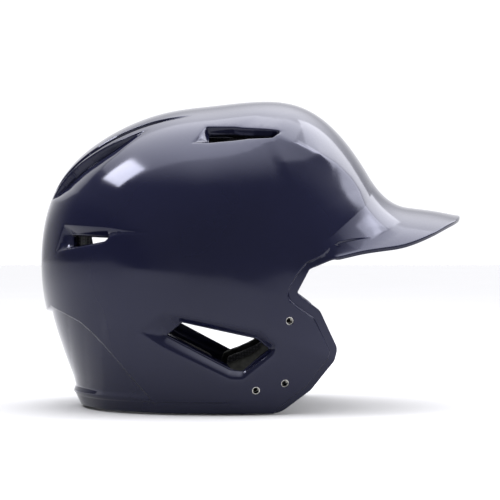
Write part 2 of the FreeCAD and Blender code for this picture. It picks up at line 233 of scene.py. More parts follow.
# outline, hole, depth and roundness of each bevelled recess
RECESSES = ((EAR_OUT, EAR_HOLE, 4.6, 0.9), (TOP_OUT, TOP_HOLE, 5.0, 0.5), (SIDE_OUT, SIDE_HOLE, 4.8, 0.5))
NAPE = rounded(np.concatenate([
    ring([196.5, 196.0], [0.0, 20.0]),
    side([(-135.3, 70.2), (-125.4, 66.1), (-113.3, 61.0), (-105, 54.5), (-98.3, 48.4), (-66.7, 13.0),
          (-62, 8), (-50, -8)])]), 7)
BROW = drawn([(-6, 189), (4, 186.1), (19.8, 181), (44.4, 169.7), (55.9, 164.1), (66.1, 154.9), (71.5, 147),
                     (75.4, 136.2)], 12)
PANEL = drawn([(14, 164), (34.8, 165.6), (44.4, 169.7)], 6)
FLANK = drawn([(-92, 96), (-75.6, 94.5), (-47.7, 91.4), (-9.0, 84.9), (15.5, 79.7), (26, 77)], 20)
CHEEK = drawn([(13, 54), (34.5, 44.4), (51.1, 37.4), (58, 34)], 8)
REAR_LINE = drawn([(-98.3, 55.0), (-82.0, 55.6), (-73.5, 54.5)], 9)
# line, height of the ridge, how fast it dies out to the left and right of the line, roundness
RIDGES = ((BROW, 2.3, 22.0, 13.0, 1.6), (PANEL, 0.9, 12.0, 12.0, 1.5), (FLANK, 0.7, 12.0, 12.0, 2.2),
          (CHEEK, 1.5, 12.0, 14.0, 1.8), (REAR_LINE, 0.6, 9.0, 9.0, 1.5))
RIDGE_END = 0.045  # where a ridge's fall is cut off, as a share of its height
INSERTS = ((25.7, 61.5), (22.8, 20.5), (3.9, 16.0))
INSERT_HOLE = 2.95

# the louvres at the back: angle round the profile, |y| of the wall's top, |y| of the far crease, depth
LOUVRES = (
    ((98, 104, 112, 124, 136, 147, 152, 156), (46, 45, 42.5, 39.5, 36.5, 31, 27, 25),
     (50, 49.5, 48.5, 46.5, 43.5, 37.5, 32, 29), (0, 0.8, 2.4, 3.6, 4.0, 3.4, 1.6, 0)),
    ((117, 121, 126, 132, 140, 148, 153, 157, 159), (53, 52.5, 51.2, 48.8, 44.8, 38, 33, 30, 28),
     (56.6, 58.5, 61.5, 65, 67, 67, 65, 57, 50), (0, 1.4, 3.6, 5.4, 6.2, 6.2, 5.6, 2.4, 0)),
)
SLOTS = ((126, 142, 1.6, 5.0, 0), (131, 148, 1.8, 7.2, 1))  # angles from and to, |y| past the wall, louvre

TEMPLE = EDGE[-1]


def bill_start():
    """Where the bill's fillet leaves the dome, from over the temple to the mid-plane."""
    low = side([(32.4, 107.5), (52.3, 115.3), (75.4, 136.2)])
    high = ring([22.6, 25.2, 27.2, 28.5, 28.9], [47, 34, 21, 9, 0.0])
    return rounded(np.concatenate([low, high]), [0, 25, 3.0, 10, 10, 10, 10, 0], step=0.4)


def level_share(angle, height):
    """How far out from the dome's centre a level line lies, as a share of the profile's radius."""
    return (CZ - height) / np.abs(np.sin(angle)) / rho(angle)


def rim_line(low, high, count):
    """The level rim, one millimetre over the ground, by angle round the profile."""
    angle = np.radians(np.linspace(low, high, count))
    share = np.minimum(1.0, level_share(angle, 1.0))
    return polar(angle, np.arcsin(share ** (POWER / 2)))


# the bill's edge seen from above: x and the distance from the mid-plane
BILL_EDGE = np.array([(38.6, 94.9), (47, 92.3), (58, 88.8), (71.5, 84.5), (85, 80.8), (97.3, 77),
                      (105.9, 72.9), (115, 66.5), (124.4, 57.5), (134.2, 44.4), (140, 32.9), (144, 17),
                      (145, 0)], float)


def smooth_plan(p):
    """A smooth curve through points that ends square to the mid-plane, evenly resampled."""
    ends = np.vstack([2 * p[0] - p[1], p, p[-1] * [1, -1] + (p[-2] - p[-1]) * [1, -1]])
    out = []
    for i in range(1, len(ends) - 2):
        a, b, c, d = ends[i - 1], ends[i], ends[i + 1], ends[i + 2]
        for t in np.linspace(0, 1, 24, endpoint=False):
            out.append(0.5 * ((2 * b) + (c - a) * t + (2 * a - 5 * b + 4 * c - d) * t * t
                              + (3 * b - a - 3 * c + d) * t**3))
    out.append(p[-1])
    return resample(np.array(out), 0.5)


def bill_height(x, y):
    """The bill's plain upper surface: an arch that slopes down forwards."""
    return 138.3 - BILL_FALL * (x - 101) - (BILL_R - np.sqrt(np.maximum(BILL_R**2 - y * y, 1)))


def bill_edge_line():
    """The bill's edge in space, lower beside the temple and at the tip."""
    plan = smooth_plan(BILL_EDGE)
    x, y = plan[:, 0], -plan[:, 1]
    z = bill_height(x, y) - 3.6 * (1 - ease((x - 38.6) / 20))
    z -= 1.0 * ease((x - 132) / 13) ** 2
    return np.stack([x, y, z], 1)


BILL_RIM = bill_edge_line()
BAND_EDGE = np.vstack([base(EDGE), BILL_RIM[1:]])
DOME_PART = places_along(BAND_EDGE)[len(EDGE) - 1]
BAND_PLACE = np.concatenate([[0, 25, 55, 80, 100], DOME_PART + np.array([-8, 0, 13, 26, 60])])
BAND_WIDTH = np.array([3.6, 4.4, 5.4, 5.6, 6.2, 5.6, 3.9, 3.9, 8.6, 10.0])
BAND_DEPTH = 1.25
BAND_SLOPE = 0.9  # how wide the step's ramp is


def band(points):
    """The step down to the border that runs round the face opening and fades along the bill."""
    far = np.full(len(points), 99.0)
    place = np.zeros(len(points))
    near = points[:, 0] > 5
    if near.any():
        far[near], _, place[near] = nearest(points[near], BAND_EDGE)
    width = np.interp(place, BAND_PLACE, BAND_WIDTH)
    height = BAND_DEPTH * (1 - ease((place - DOME_PART - 24) / 26))
    return -height * ease((width - far) / BAND_SLOPE + 0.5)


def field(q, plain=False):
    """How far the outer surface stands out of the plain dome, with or without the border's step."""
    phi = np.hypot(q[:, 0], q[:, 1]) * (math.pi / 2 / SPAN)
    over = phi > math.pi / 2
    if over.any():
        q = np.where(over[:, None], q * ((math.pi - phi) / np.maximum(phi, 1e-9))[:, None], q)
        phi = np.where(over, math.pi - phi, phi)
    angle = np.degrees(np.arctan2(q[:, 1], q[:, 0])) % 360
    half = WIDE * np.cos(phi) ** (2 / POWER)
    place = base(q)
    d = np.zeros(len(q)) if plain else band(place)
    for outer, hole, deep, roundness in RECESSES:
        near = ((q > outer.min(0) - 4) & (q < outer.max(0) + 4)).all(1)
        if not near.any():
            continue
        p = q[near]
        out, _, _ = nearest(p, outer, True)
        out = np.where(inside(p, outer), out, -out)
        into, _, _ = nearest(p, hole, True)
        into = np.where(inside(p, hole), 0, into)
        lead = soft(out, roundness)
        d[near] -= deep * lead / (lead + into) * ease((out + 3.5) / 3.0)
    for line, height, left, right, roundness in RIDGES:
        reach = 3.2 * max(left, right)
        near = ((q > line.min(0) - reach) & (q < line.max(0) + reach)).all(1)
        if not near.any():
            continue
        far, sign, at = nearest(q[near], line)
        total = places_along(line)[-1]
        fade = ease(at / (0.25 * total)) if line is not CHEEK else 1.0
        if line is not BROW and line is not CHEEK and line is not PANEL:
            fade = fade * ease((total - at) / (0.25 * total))
        scale = (left + right) / 2 + (left - right) / 2 * sign
        bump = np.exp(-(np.sqrt(far**2 + roundness**2) - roundness) / scale) - RIDGE_END
        d[near] += height * fade * np.maximum(bump, 0) / (1 - RIDGE_END)
    for angles, walls, creases, depths in LOUVRES:
        near = (angle > angles[0] - 1) & (angle < angles[-1] + 1)
        if not near.any():
            continue
        a, b = angle[near], half[near]
        wall, crease, deep = (np.interp(a, angles, v) for v in (walls, creases, depths))
        slope = soft(crease - b, 0.8) / (crease - wall - 1.0)
        d[near] -= deep * ease((b - wall) / 1.1) * np.clip(slope, 0, 1.02) * ease((crease + 3 - b) / 3)
    near = (place[:, 0] < -40) & (place[:, 2] < 80)
    if near.any():
        far, sign, _ = nearest(q[near], NAPE)
        out = far * -sign
        x, z = place[near, 0], place[near, 2]
        share = np.interp(x, (-140, -125, -112, -98, -66, -60), (1.0, 1.0, 0.75, 0.3, 0.16, 0.0))
        depth = np.interp(z, (0, 8, 10.5, 13.5, 20, 33, 48, 60, 72),
                          (2.6, 2.0, 1.2, 4.0, 4.6, 4.0, 3.6, 3.6, 3.6))
        width = np.interp(x, (-135, -112, -98, -66), (3.4, 3.0, 1.8, 1.2))
        d[near] -= depth * share * ease(out / width)
    x, _, z = place.T
    d -= 0.7 * ease((9 - z) / 2.0) * ease((x + 118) / 10) * ease((10 - x) / 40)
    return d


def dome(q, plain=False):
    """The finished outer surface."""
    step = 0.15
    p = base(q)
    du = base(q + [step, 0]) - base(q - [step, 0])
    dv = base(q + [0, step]) - base(q - [0, step])
    n = np.cross(dv, du)
    n /= np.linalg.norm(n, axis=1)[:, None]
    n *= np.where((n * (p - [CX, 0, CZ])).sum(1) < 0, -1.0, 1.0)[:, None]
    return p + n * field(q, plain)[:, None]


def normals(surface, q, step=0.12):
    """Exact normals of a mapped surface, by differences."""
    du = surface(q + [step, 0]) - surface(q - [step, 0])
    dv = surface(q + [0, step]) - surface(q - [0, step])
    n = np.cross(du, dv)
    n /= np.maximum(np.linalg.norm(n, axis=1), 1e-12)[:, None]
    return n


def inner_dome(q):
    """The wall's inner surface, smoother than the outer one."""
    depth = WALL + soft(-field(q) - 1.0, 0.6)
    p = base(q)
    full = base(q, 10.0)
    return p + (full - p) * (depth / np.linalg.norm(full - p, axis=1))[:, None]


# ---------------------------------------------------------------- the bill
START = bill_start()
START_AT = places_along(base(START))
RIM_AT = places_along(BILL_RIM)
COLUMN_T = np.concatenate([np.linspace(0, 0.42, 120), np.linspace(0.42, 1, 86)[1:]])  # closer by the temple
SEAM = 0.13  # up to this t the bill blends into the dome


def on_line(line, places, t):
    """Points of a line by their share of its length."""
    s = t * places[-1]
    return np.stack([np.interp(s, places, line[:, k]) for k in range(line.shape[1])], 1)


def bill(ts, plain=False):
    """The bill's upper surface and its fillet: t from the temple to the mid-plane, s from dome to edge."""
    t, s = np.clip(ts[:, 0], 0, 1), ts[:, 1]
    q0 = on_line(START, START_AT, t)
    b = dome(q0, plain)
    e = on_line(BILL_RIM, RIM_AT, t)
    plan = b[:, :2] + (e[:, :2] - b[:, :2]) * s[:, None]
    run = np.linalg.norm(e[:, :2] - b[:, :2], axis=1)
    reach = np.interp(t, (0, 0.2, 0.45, 0.6, 1), (9, 15, 22, 25, 29))
    reach = np.minimum(reach, run)
    sharp = np.interp(t, (0, 0.3, 0.5, 0.65, 1), (1.6, 1.9, 2.1, 2.3, 2.35))
    fall = np.clip(1 - s * run / reach, 0, 1) ** sharp
    z = bill_height(plan[:, 0], plan[:, 1])
    droop = (e[:, 2] - bill_height(e[:, 0], e[:, 1])) * ease((s - 0.55) / 0.45) ** 2
    z = z + (b[:, 2] - bill_height(b[:, 0], b[:, 1])) * fall + droop
    p = np.stack([plan[:, 0], plan[:, 1], z], 1)
    arch = plan[:, 1] / np.sqrt(BILL_R**2 - plan[:, 1] ** 2)
    up = np.stack([np.full(len(s), BILL_FALL), arch, np.ones(len(s))], 1)
    up /= np.linalg.norm(up, axis=1)[:, None]
    if not plain:
        p = p + up * band(p)[:, None] * ease(s / 0.15)[:, None]
    seam = t < SEAM
    if seam.any():
        q1 = side(np.stack([e[seam, 0], e[seam, 2]], 1))
        q1 = q1 + (TEMPLE - q1) * (1 - ease(t[seam] / 0.02))[:, None]
        on_dome = dome(q0[seam] + (q1 - q0[seam]) * s[seam, None], plain)
        w = ease(t[seam] / SEAM)[:, None]
        p[seam] = on_dome * (1 - w) + p[seam] * w
    return p


# ---------------------------------------------------------------- collecting surfaces
class Skin:
    """Collects surfaces, each with its own normals, into one mesh."""

    def __init__(self):
        self.points, self.normals, self.faces, self.count = [], [], [], 0

    def add(self, points, normal, faces):
        """Triangles, turned to face the way their normals do."""
        faces = np.asarray(faces, int)
        a, b, c = (points[faces[:, k]] for k in range(3))
        flat = np.cross(b - a, c - a)
        area = np.linalg.norm(flat, axis=1)
        facing = (flat * normal[faces].sum(1)).sum(1)
        faces = np.where((facing < 0)[:, None], faces[:, ::-1], faces)[area > 1e-7]
        self.points.append(points)
        self.normals.append(normal)
        self.faces.append(faces + self.count)
        self.count += len(points)

    def grid(self, points, normal):
        """points and normals as arrays rows x columns x 3."""
        r, c = points.shape[:2]
        k = np.arange(r * c).reshape(r, c)
        a, b, d, e = k[:-1, :-1].ravel(), k[:-1, 1:].ravel(), k[1:, 1:].ravel(), k[1:, :-1].ravel()
        tris = np.concatenate([np.stack([a, b, d], 1), np.stack([a, d, e], 1)])
        self.add(points.reshape(-1, 3), normal.reshape(-1, 3), tris)

    def mesh(self, name):
        """Both halves as one object, with shared points joined and doubled faces dropped."""
        p, n, f = np.concatenate(self.points), np.concatenate(self.normals), np.concatenate(self.faces)
        p[np.abs(p[:, 1]) < 0.02, 1] = 0.0
        flip = np.array([1, -1, 1])
        f = np.concatenate([f, f[:, ::-1] + len(p)])
        p, n = np.concatenate([p, p * flip]), np.concatenate([n, n * flip])
        corner = n[f].reshape(-1, 3)
        _, first, back = np.unique(np.round(p, 3), axis=0, return_index=True, return_inverse=True)
        back = back.reshape(-1)
        f = back[f]
        good = (f[:, 0] != f[:, 1]) & (f[:, 1] != f[:, 2]) & (f[:, 0] != f[:, 2])
        key = np.sort(f, 1)
        _, once = np.unique(key, axis=0, return_index=True)
        keep = np.zeros(len(f), bool)
        keep[once] = True
        good &= keep
        corner = corner.reshape(-1, 3, 3)[good].reshape(-1, 3)
        f = f[good]
        return build(name, p[first] / 1000.0, f, corner)


def build(name, points, faces, corner):
    """An object from points in metres, triangles and a normal for each corner."""
    mesh = bpy.data.meshes.new(name)
    mesh.from_pydata(points.tolist(), [], faces.tolist())
    mesh.polygons.foreach_set("use_smooth", [True] * len(mesh.polygons))
    mesh.normals_split_custom_set(corner.tolist())
    mesh.update()
    piece = bpy.data.objects.new(name, mesh)
    bpy.context.scene.collection.objects.link(piece)
    return piece


def offset_rows(line, offsets, closed=False):
    """Rows of points beside a line, for a mesh that is dense across it."""
    ahead = np.roll(line, -1, 0) - np.roll(line, 1, 0) if closed else np.gradient(line, axis=0)
    ahead /= np.maximum(np.linalg.norm(ahead, axis=1), 1e-9)[:, None]
    left = np.stack([-ahead[:, 1], ahead[:, 0]], 1)
    return np.concatenate([line + left * k for k in offsets])


ROW_GAP = 0.28  # row points closer together than this are dropped


def triangulate(outline, holes, rows, coarse):
    """Triangles of a flat region: its border, the rows' points in it and a coarse grid between them."""
    fixed = np.concatenate([outline, *holes])
    edges = []
    start = 0
    for loop in (outline, *holes):
        n = len(loop)
        edges += [(start + i, start + (i + 1) % n) for i in range(n)]
        start += n
    tree = KDTree(len(fixed) + len(rows))
    taken = {}
    kept = []

    def free(p, gap):
        cell = (int(p[0] // 1.0), int(p[1] // 1.0))
        for i in (-1, 0, 1):
            for j in (-1, 0, 1):
                for o in taken.get((cell[0] + i, cell[1] + j), ()):
                    if (o[0] - p[0]) ** 2 + (o[1] - p[1]) ** 2 < gap * gap:
                        return False
        return True

    def take(p):
        taken.setdefault((int(p[0] // 1.0), int(p[1] // 1.0)), []).append(p)

    def valid(points):
        ok = inside(points, outline)
        for hole in holes:
            ok &= ~inside(points, hole)
        return points[ok]

    for p in fixed:
        take(p)
    for p in valid(rows):
        if free(p, ROW_GAP):
            take(p)
            kept.append(p)
    for p in np.concatenate([fixed, np.array(kept).reshape(-1, 2)]):
        tree.insert((p[0], p[1], 0), 0)
    tree.balance()
    low, high = outline.min(0), outline.max(0)
    grid = []
    for j, y in enumerate(np.arange(low[1], high[1], coarse * 0.866)):
        for x in np.arange(low[0] + (j % 2) * coarse / 2, high[0], coarse):
            grid.append((x, y))
    for p in valid(np.array(grid)):
        if tree.find((p[0], p[1], 0))[2] > 0.62 * coarse:
            kept.append(p)
    points = np.concatenate([fixed, np.array(kept)])
    made = delaunay_2d_cdt([Vector(p) for p in points.tolist()], edges, [], 0, 1e-6)
    out = np.array([tuple(v) for v in made[0]])
    tris = np.array([f for f in made[2] if len(f) == 3], int)
    middle = out[tris].mean(1)
    ok = inside(middle, outline)
    for hole in holes:
        ok &= ~inside(middle, hole)
    return out, tris[ok]


def match(points, wanted):
    """Indices of the points that lie at the wanted places."""
    tree = KDTree(len(points))
    for i, p in enumerate(points.tolist()):
        tree.insert((p[0], p[1], 0), i)
    tree.balance()
    return [tree.find((p[0], p[1], 0))[1] for p in np.asarray(wanted).tolist()]


def rim(skin, outer, outer_n, inner, inner_n, tangent, radius, closed):
    """A rounded lip between two skins along a line."""
    across = inner - outer
    wide = np.linalg.norm(across, axis=1)[:, None]
    across = across / np.maximum(wide, 1e-9)
    r = np.minimum(radius, wide * 0.42)
    points, normal = [outer], [outer_n]
    for a in (25, 50, 70, 90):
        c, s = math.cos(math.radians(a)), math.sin(math.radians(a))
        points.append(outer + tangent * r * s + across * r * (1 - c))
        normal.append(outer_n * c + tangent * s)
    for a in (90, 60, 30):
        c, s = math.cos(math.radians(a)), math.sin(math.radians(a))
        points.append(inner + tangent * r * s - across * r * (1 - c))
        normal.append(inner_n * c + tangent * s)
    points.append(inner)
    normal.append(inner_n)
    p, n = np.stack(points), np.stack(normal)
    if closed:
        p, n = np.concatenate([p, p[:, :1]], 1), np.concatenate([n, n[:, :1]], 1)
    n /= np.linalg.norm(n, axis=2)[..., None]
    skin.grid(p, n)


def lip_tangent(line, normal, closed):
    """The direction in the surface, square to a border: off the material or the opposite."""
    ahead = np.roll(line, -1, 0) - np.roll(line, 1, 0) if closed else np.gradient(line, axis=0)
    t = np.cross(ahead, normal)
    return t / np.maximum(np.linalg.norm(t, axis=1), 1e-9)[:, None]


# ---------------------------------------------------------------- making the shell
def louvre_rows():
    """Rows along both edges of the louvres."""
    out = []
    for angles, walls, creases, _ in LOUVRES:
        a = np.linspace(angles[0], angles[-1], 62)
        wall, crease = np.interp(a, angles, walls), np.interp(a, angles, creases)
        for k in (-1.6, -0.5, 0.0, 0.25, 0.5, 0.75, 1.1, 1.8):
            out.append(ring(a, np.maximum(wall + k, 0)))
        for k in (-1.4, -0.5, 0, 0.5, 1.4):
            out.append(ring(a, crease + k))
    return np.concatenate(out)


def slot_outline(low, high, near, far, which):
    """A vent slot in the floor of a louvre, next to its wall."""
    angles, walls = LOUVRES[which][:2]
    a = np.linspace(low, high, 12)
    wall = np.interp(a, angles, walls)
    taper = np.interp(a, (low, low + 3, high - 3, high), (0.35, 1, 1, 0.5))
    line = np.concatenate([ring(a, wall + near), ring(a[::-1], (wall + near + (far - near) * taper)[::-1])])
    return rounded(line, 0.6, True, 0.9)


def bill_rows(t):
    """Rows across the bill by column: close together at the border's step, even over the rest."""
    fine = np.linspace(0, 1, 90)
    tt, ff = np.meshgrid(t, fine)
    p = bill(np.stack([tt.ravel(), ff.ravel()], 1), True)
    far, _, place = nearest(p, BILL_RIM)
    far = far.reshape(tt.shape)
    width = np.interp(DOME_PART + place.reshape(tt.shape)[-1], BAND_PLACE, BAND_WIDTH)
    out = []
    for k in range(len(t)):
        reach = far[:, k].max()
        near = np.concatenate([np.linspace(0, width[k] - 1.1, 5), width[k] + np.array(
            [-0.65, -0.45, -0.3, -0.15, 0, 0.15, 0.3, 0.45, 0.65, 1.0])])
        near = np.minimum(near, reach * np.linspace(0.05, 0.8, 15)) if reach < near[-1] * 1.25 else near
        marks = np.interp(near, far[::-1, k], fine[::-1])
        marks[0] = 1.0
        out.append(np.concatenate([np.linspace(0, 1, 30)[:-1] ** 1.15 * marks[-1], marks[::-1]]))
    return np.array(out).T


def bill_normals(ts, points, plain=False):
    """The bill's normals by differences, facing away from the head."""
    across, along = 0.002, 0.004
    t_hi, t_lo = np.minimum(ts[:, 0] + across, 1), np.maximum(ts[:, 0] - across, 0)
    s_hi, s_lo = np.minimum(ts[:, 1] + along, 1), np.maximum(ts[:, 1] - along, 0)
    dt = bill(np.stack([t_hi, ts[:, 1]], 1), plain) - bill(np.stack([t_lo, ts[:, 1]], 1), plain)
    ds = bill(np.stack([ts[:, 0], s_hi], 1), plain) - bill(np.stack([ts[:, 0], s_lo], 1), plain)
    n = np.cross(dt, ds)
    n *= np.where((n * (points - [40, 0, 50])).sum(1) < 0, -1.0, 1.0)[:, None]
    return n / np.maximum(np.linalg.norm(n, axis=1), 1e-9)[:, None]


def insert_hole(x, z):
    """The flat loop whose image is a round hole of the insert's size."""
    turn = np.linspace(0, 2 * math.pi, 25)[:-1]
    circle = np.stack([np.cos(turn), np.sin(turn)], 1)
    middle = side(np.stack([x + 0.1 * np.cos(turn), z + 0.1 * np.sin(turn)], 1)).mean(0)
    loop = middle + circle * 3.0
    size = np.linalg.norm(base(loop) - base(middle[None]), axis=1)
    return middle + (loop - middle) * (INSERT_HOLE / size)[:, None]


def make_shell():
    """The whole shell: dome, bill, inner skin and every lip, made on the right and mirrored."""
    start_t = COLUMN_T
    start_q = on_line(START, START_AT, start_t)
    ss = bill_rows(start_t)
    row_count, column_count = ss.shape
    seam_q = start_q[0] + (TEMPLE - start_q[0]) * ss[:, :1]
    top_angle = np.radians(np.linspace(28.9, 226.8, 190))
    arc = polar(top_angle, np.full(190, math.pi / 2))
    rim_q = rim_line(226.8, 294.3, 150)
    rim_q[0] = arc[-1]
    turn = np.linspace(0, 1, 6)[:, None]
    jaw_corner = (1 - turn) ** 2 * rim_q[-4] + 2 * turn * (1 - turn) * rim_q[-1] + turn**2 * EDGE[3]
    rim_q, edge = np.concatenate([rim_q[:-4], jaw_corner]), EDGE[3:]
    outline = np.concatenate([rim_q[:-1], edge[:-1], seam_q[::-1][:-1], start_q[:-1], arc[:-1]])
    holes = [EAR_HOLE, TOP_HOLE, SIDE_HOLE]
    radii = [0.9, 0.5, 0.5]  # of each hole's lip
    for x, z in INSERTS:
        holes.append(insert_hole(x, z))
        radii.append(0.35)
    for slot in SLOTS:
        holes.append(slot_outline(*slot))
        radii.append(0.6)
    rows = [louvre_rows()]
    for outer, hole, _, _ in RECESSES:
        rows.append(offset_rows(outer, (-1.5, -0.6, 0, 0.6, 1.5), True))
        rows.append(offset_rows(hole, (-1.3, -0.5, 0.5, 1.3), True))
    for line, _, _, _, r in RIDGES:
        rows.append(offset_rows(line, (-2.6, -1.3, -0.5, 0, 0.5, 1.3, 2.6)))
    rows.append(offset_rows(NAPE, (-4.6, -3.8, -3.2, -2.5, -1.7, -0.9, -0.3, 0.2, 0.9, 1.8)))
    line = resample(EDGE, 0.6)
    width = np.interp(places_along(base(line)), BAND_PLACE, BAND_WIDTH)
    ahead = np.gradient(line, axis=0)
    ahead /= np.linalg.norm(ahead, axis=1)[:, None]
    left = np.stack([-ahead[:, 1], ahead[:, 0]], 1)
    share = width / np.linalg.norm(base(line + left * width[:, None]) - base(line), axis=1)
    for k in (-1.4, -0.7, -0.45, -0.22, 0, 0.22, 0.45, 0.7, 1.4):
        rows.append(line + left * ((width + k) * share)[:, None])
    turn = np.linspace(0, math.pi, 24)
    around = np.concatenate([TEMPLE + np.stack([np.cos(turn), np.sin(turn)], 1) * (3.9 + k) * share[-1]
                             for k in (-0.7, -0.45, -0.22, 0, 0.22, 0.45, 0.7)])
    rows.append(around)
    for z in (7, 8, 9, 10, 10.5, 11.2, 12, 12.8, 13.5, 14.5):
        angle = np.radians(np.linspace(215, 290, 1500))
        share = level_share(angle, z)
        level = polar(angle[share <= 1], np.arcsin(share[share <= 1] ** (POWER / 2)))
        rows.append(resample(level, 2.0))
    rows = np.concatenate(rows)

    skin = Skin()
    flat, tris = triangulate(outline, holes, rows, 2.8)
    points = dome(flat)
    normal = normals(dome, flat)
    normal *= np.where((normal * (points - [CX, 0, CZ])).sum(1) < 0, -1.0, 1.0)[:, None]
    rim_of = np.hypot(flat[:, 0], flat[:, 1]) > SPAN * 0.9999
    normal[rim_of, 1] = 0
    normal[rim_of] /= np.linalg.norm(normal[rim_of], axis=1)[:, None]

    # bill
    tt = np.broadcast_to(start_t, ss.shape)
    ts = np.stack([tt.ravel(), ss.ravel()], 1)
    bill_p = bill(ts)
    bill_n, smooth_n = bill_normals(ts, bill_p), bill_normals(ts, bill_p, True)
    bill_p, bill_n, smooth_n = (a.reshape(row_count, column_count, 3) for a in (bill_p, bill_n, smooth_n))
    bill_n[:, -1, 1] = 0
    bill_n /= np.linalg.norm(bill_n, axis=2)[..., None]

    # where the bill meets the dome: exact points, and one normal where they are nearly alike
    meet = match(flat, start_q)
    column = match(flat, seam_q)
    bill_p[0] = points[meet]
    bill_p[:, 0] = points[column]
    for k, i in enumerate(meet):
        close = float(bill_n[0, k] @ normal[i])
        w = ease(np.array([(close - 0.955) / 0.025]))[0] if start_t[k] > 0.62 else 0.0
        if start_t[k] > 0.85:
            w = 1.0
        if w > 0:
            both = bill_n[0, k] + normal[i]
            both /= np.linalg.norm(both)
            bill_n[0, k] = bill_n[0, k] * (1 - w) + both * w
            normal[i] = normal[i] * (1 - w) + both * w
    bill_n[:, 0] = normal[column]
    skin.add(points, normal, tris)
    skin.grid(bill_p, bill_n)

    # inner skin
    inner_flat, inner_tris = triangulate(outline, holes, np.concatenate([
        offset_rows(EAR_OUT, (-1.2, 1.2), True), offset_rows(SIDE_OUT, (-1.2, 1.2), True),
        offset_rows(TOP_OUT, (-1.0, 1.0), True), louvre_rows()[::3]]), 4.2)
    inner = inner_dome(inner_flat)
    inner_n = normals(inner_dome, inner_flat)
    inner_n *= np.where((inner_n * (inner - [CX, 0, CZ])).sum(1) > 0, -1.0, 1.0)[:, None]
    inside_rim = np.hypot(inner_flat[:, 0], inner_flat[:, 1]) > SPAN * 0.9999
    inner_n[inside_rim, 1] = 0
    skin.add(inner, inner_n, inner_tris)

    def inner_of(line):
        k = match(inner_flat, line)
        return inner[k], inner_n[k]

    def outer_of(line):
        k = match(flat, line)
        return points[k], normal[k]

    root, root_n = inner_of(start_q)
    post, post_n = inner_of(seam_q)
    smooth_n[:, -1, 1] = 0
    under = bill_p - smooth_n * WALL
    shift = (root - under[0])[None] * (1 - ease(ss / 0.35))[..., None]
    under = under + shift
    side_shift = (post - under[:, 0])[:, None] * (1 - ease(start_t / SEAM))[None, :, None]
    under = under + side_shift
    under_n = -smooth_n
    under_n[0] = root_n
    mix = (1 - ease(ss / 0.2))[..., None]
    under_n = under_n * (1 - mix) + root_n[None] * mix
    under_n[:, 0] = post_n
    under_n /= np.linalg.norm(under_n, axis=2)[..., None]
    skin.grid(under, under_n)

    # lips: the outer border in one run, then each hole
    run_q = np.concatenate([rim_q[:-1], edge])
    op, on = outer_of(run_q)
    ip, inn = inner_of(run_q)
    op = np.concatenate([op, bill_p[-1, 1:]])
    on = np.concatenate([on, bill_n[-1, 1:]])
    ip = np.concatenate([ip, under[-1, 1:]])
    inn = np.concatenate([inn, under_n[-1, 1:]])
    tangent = lip_tangent(op, on, False)
    if tangent[20, 2] > 0:  # a point of the level rim, whose way out is down
        tangent = -tangent
    tangent[0, 1] = tangent[-1, 1] = 0
    tangent /= np.linalg.norm(tangent, axis=1)[:, None]
    rim(skin, op, on, ip, inn, tangent, 1.1, False)
    for hole, radius in zip(holes, radii):
        op, on = outer_of(hole)
        ip, inn = inner_of(hole)
        tangent = lip_tangent(op, on, True)
        centre = op.mean(0)
        tangent *= np.where(((centre - op) * tangent).sum(1).mean() < 0, -1.0, 1.0)
        rim(skin, op, on, ip, inn, tangent, radius, True)
    return skin.mesh("helmet_shell")


shell = make_shell()
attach(shell, "root")
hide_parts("shell")


# ---------------------------------------------------------------- materials
class Nodes:
    """A material's node tree, with the few helpers that the recipes below share."""

    def __init__(self, name, colour, roughness, metallic=0.0):
        self.material = bpy.data.materials.new(name)
        self.material.use_nodes = True
        self.tree = self.material.node_tree
        self.shader = self.tree.nodes["Principled BSDF"]
        self.set("Base Color", (*colour, 1))
        self.set("Roughness", roughness)
        self.set("Metallic", metallic)
        self.place = self.tree.nodes.new("ShaderNodeTexCoord").outputs["Object"]

    def set(self, socket, value):
        self.shader.inputs[socket].default_value = value

    def new(self, kind, links=(), **values):
        node = self.tree.nodes.new("ShaderNode" + kind)
        for key, value in values.items():
            if hasattr(node, key):
                setattr(node, key, value)
            else:
                node.inputs[key.replace("_", " ")].default_value = value
        for socket, source in links:
            self.tree.links.new(source, node.inputs[socket])
        return node

    def noise(self, scale, detail=2.0):
        return self.new("TexNoise", [("Vector", self.place)], Scale=scale, Detail=detail).outputs["Fac"]

    def ramp(self, source, low, high, start, end):
        return self.new("MapRange", [("Value", source)], From_Min=start, From_Max=end, To_Min=low,
                        To_Max=high).outputs["Result"]

    def blend(self, factor, first, second):
        node = self.new("Mix", data_type="RGBA")
        node.inputs[6].default_value = (*first, 1)
        node.inputs[7].default_value = (*second, 1)
        self.tree.links.new(factor, node.inputs[0])
        return node.outputs[2]

    def link(self, source, socket):
        self.tree.links.new(source, self.shader.inputs[socket])

    def bump(self, height, strength, distance, before=None):
        links = [("Height", height)] + ([("Normal", before)] if before else [])
        node = self.new("Bump", links, Strength=strength, Distance=distance)
        self.link(node.outputs["Normal"], "Normal")
        return node.outputs["Normal"]


